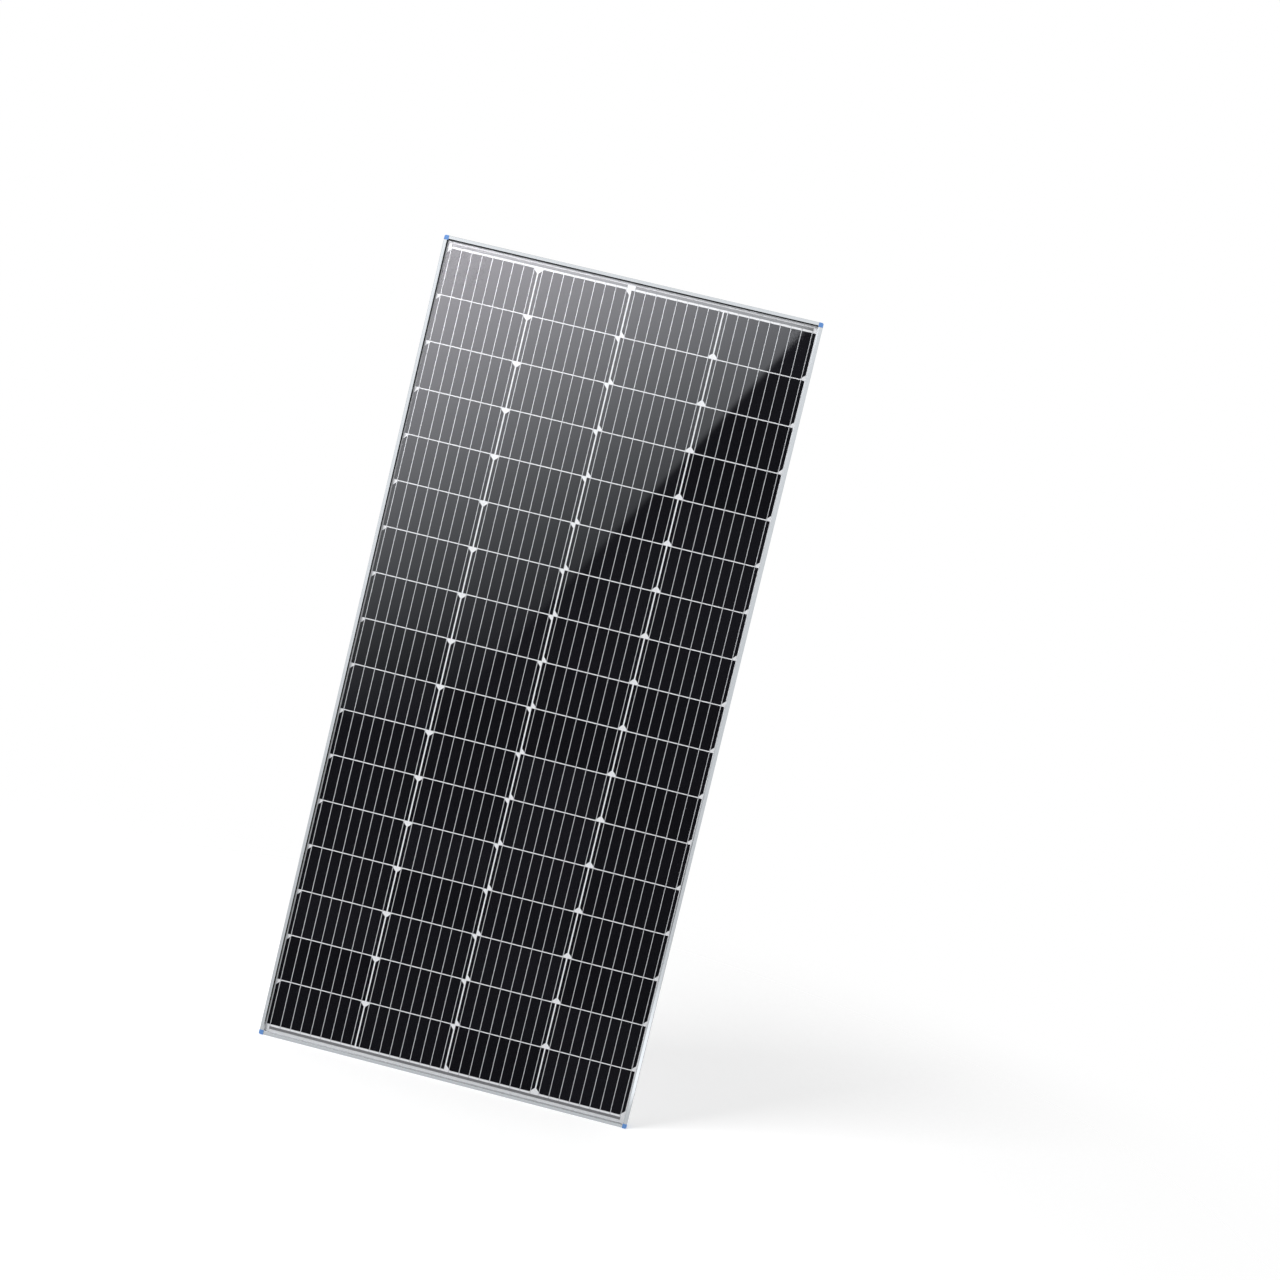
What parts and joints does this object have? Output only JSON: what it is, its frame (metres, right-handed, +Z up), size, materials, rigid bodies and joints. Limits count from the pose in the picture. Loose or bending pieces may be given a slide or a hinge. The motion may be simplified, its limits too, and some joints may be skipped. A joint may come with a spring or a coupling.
{
  "type": "framed solar panel",
  "caption": "Tall framed solar panel: half-cut dark cells under glass, silver mitred frame with slotted back flange, rear junction box and two leads with connectors.",
  "frame": {"origin": "centre of the frame's back mounting plane, which lies on the rack or roof rails", "axes": "+Z up along the panel's length to the junction box end, +Y out of the back, glass facing -Y, +X to the right seen from the front"},
  "size_m": [0.69, 0.03, 1.48],
  "materials": {
    "frame": "silver anodised aluminium, fine satin",
    "corner_key": "mill finish aluminium",
    "corner_cap": "blue moulded plastic",
    "glass": "clear tempered glass",
    "encapsulant": "clear cured encapsulant film",
    "ribbon": "tin-coated copper ribbon",
    "cells": "near-black monocrystalline silicon cells on white encapsulant",
    "backsheet": "white polymer backsheet",
    "silicone": "white silicone",
    "black_rubber": "black rubber",
    "box_plastic": "black moulded plastic, fine matt",
    "terminal": "tin-coated copper plate",
    "diode": "black moulded diode body",
    "lead_jacket": "black cross-linked lead jacket",
    "connector_plastic": "black moulded plastic, slight gloss",
    "contact": "tin-coated copper contact"
  },
  "bodies": {
    "panel": {"frame_left": "frame", "frame_right": "frame", "frame_top": "frame", "frame_bottom": "frame", "corner_key_tl": "corner_key", "corner_key_tr": "corner_key", "corner_key_bl": "corner_key", "corner_key_br": "corner_key", "corner_cap_tl": "corner_cap", "corner_cap_tr": "corner_cap", "corner_cap_bl": "corner_cap", "corner_cap_br": "corner_cap", "edge_seal": "silicone", "front_glass": "glass", "front_encapsulant": "encapsulant", "ribbons_left": "ribbon", "ribbons_right": "ribbon", "bus_bottom": "ribbon", "cell_sheet": "cells", "backsheet": "backsheet", "box_pad": "silicone", "box_base": "box_plastic", "box_gasket": "black_rubber", "terminal_1": "terminal", "terminal_2": "terminal", "terminal_3": "terminal", "bypass_diode_1": "diode", "bypass_diode_2": "diode", "gland_seal_left": "black_rubber", "gland_seal_right": "black_rubber", "lead_left": "lead_jacket", "lead_right": "lead_jacket", "plug_housing": "connector_plastic", "plug_pin": "contact", "plug_seal": "black_rubber", "socket_housing": "connector_plastic", "socket_contact": "contact"},
    "lid": {"box_lid": "box_plastic"},
    "gland_nut_left": {"gland_nut_left": "box_plastic"},
    "gland_nut_right": {"gland_nut_right": "box_plastic"},
    "plug_nut": {"plug_nut": "connector_plastic"},
    "socket_nut": {"socket_nut": "connector_plastic"}
  },
  "joints": [
    {"name": "lid_lift", "type": "slide", "parent": "panel", "child": "lid", "axis": [0, 1, 0], "range_m": [0, 0.03]},
    {"name": "gland_nut_left_turn", "type": "hinge", "parent": "panel", "child": "gland_nut_left", "pos_m": [0.022, -0.0146, 0.612], "axis": [0, 0, -1], "range_deg": [0, 360]},
    {"name": "gland_nut_right_turn", "type": "hinge", "parent": "panel", "child": "gland_nut_right", "pos_m": [-0.022, -0.0146, 0.612], "axis": [0, 0, -1], "range_deg": [0, 360]},
    {"name": "plug_nut_turn", "type": "hinge", "parent": "panel", "child": "plug_nut", "pos_m": [0.0602, -0.0142, 0.5465], "axis": [0.342, 0, -0.9397], "range_deg": [0, 360]},
    {"name": "socket_nut_turn", "type": "hinge", "parent": "panel", "child": "socket_nut", "pos_m": [-0.0602, -0.0142, 0.5465], "axis": [-0.342, 0, -0.9397], "range_deg": [0, 360]}
  ]
}
